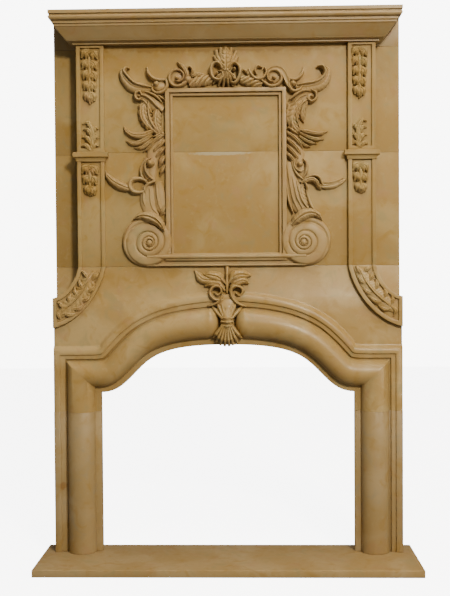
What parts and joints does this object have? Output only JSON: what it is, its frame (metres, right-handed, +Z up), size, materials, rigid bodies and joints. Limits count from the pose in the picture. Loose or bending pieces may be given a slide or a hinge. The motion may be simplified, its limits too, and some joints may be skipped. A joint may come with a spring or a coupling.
{
  "type": "marble chimneypiece with overmantel",
  "caption": "Carved marble chimneypiece: hearth slab, legs and a double-curved arch under an overmantel with pilasters, a scrolled frame and a moulded cornice.",
  "frame": {"origin": "middle of the hearth slab's underside, which is the middle of the bounding box's base", "axes": "+Z up, -Y to the front, +X to the viewer's right; the flat back faces +Y"},
  "size_m": [1.73, 0.39, 2.53],
  "materials": {
    "hearth_marble": "honed greyish beige marble",
    "leg_marble": "polished grey-beige marble",
    "field_marble": "polished golden beige marble, softly clouded",
    "cornice_marble": "polished beige marble, slightly dulled",
    "frame_marble": "carved golden beige marble, dark in the hollows"
  },
  "bodies": {
    "root": {"hearth_slab": "hearth_marble", "leg_left": "leg_marble", "leg_right": "leg_marble", "lintel": "field_marble", "middle_course": "field_marble", "top_course": "field_marble", "cornice": "cornice_marble", "carved_frame": "frame_marble"}
  },
  "joints": []
}
